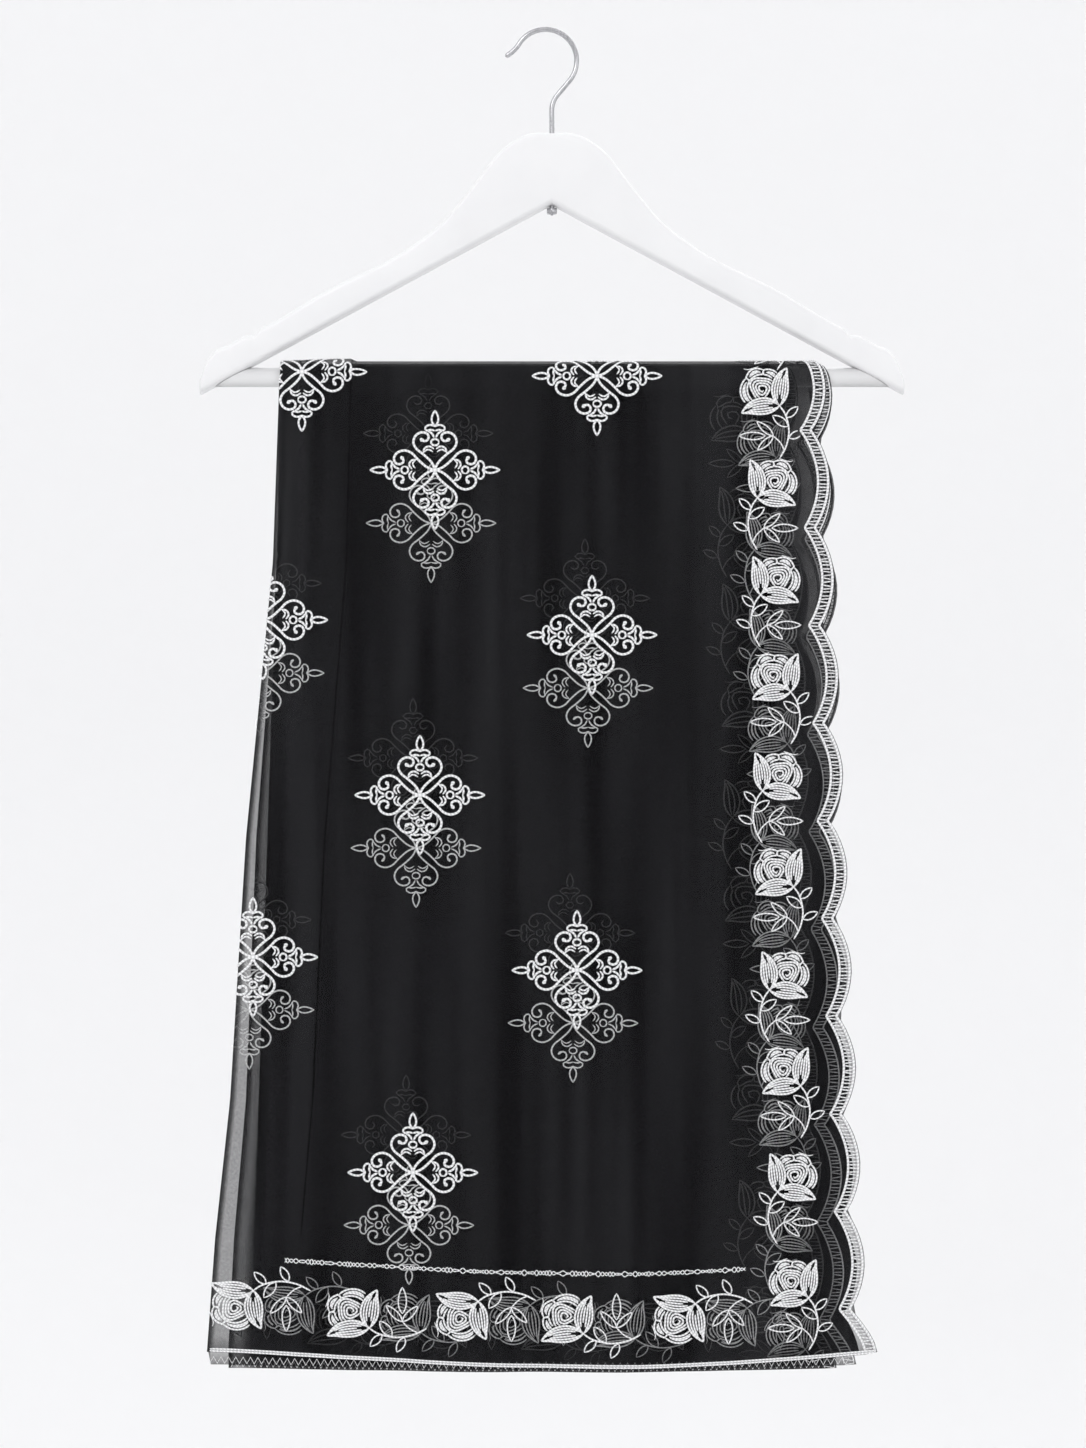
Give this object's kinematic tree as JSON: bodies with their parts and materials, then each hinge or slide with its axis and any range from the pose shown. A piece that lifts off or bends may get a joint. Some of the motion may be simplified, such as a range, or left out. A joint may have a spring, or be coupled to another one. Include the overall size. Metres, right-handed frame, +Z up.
{
  "type": "dupatta stole on wooden hanger",
  "caption": "Sheer grey net dupatta with white chain-stitch embroidery and scalloped edging, folded over the bar of a white wooden hanger.",
  "frame": {"origin": "inner crown of the hook, where a rail holds the hanger up", "axes": "+Z up, -Y towards the viewer of the embroidered front, +X towards the scalloped open edges"},
  "size_m": [0.4378, 0.0265, 0.8434],
  "materials": {
    "grey_net": "sheer soft net",
    "white_embroidery": "matte chain stitch",
    "white_painted_wood": "satin white paint",
    "hook_steel": "satin steel"
  },
  "bodies": {
    "root": {"hanger_bar": "white_painted_wood", "hanger_hook": "hook_steel", "hanger_yoke": "white_painted_wood", "hook_nut": "hook_steel", "inner_end_border": "grey_net", "inner_net": "grey_net", "inner_scallop_edging": "white_embroidery", "outer_end_border": "grey_net", "outer_net": "grey_net", "outer_scallop_edging": "white_embroidery", "under_end_border": "grey_net", "under_net": "grey_net", "under_scallop_edging": "white_embroidery"}
  },
  "joints": []
}
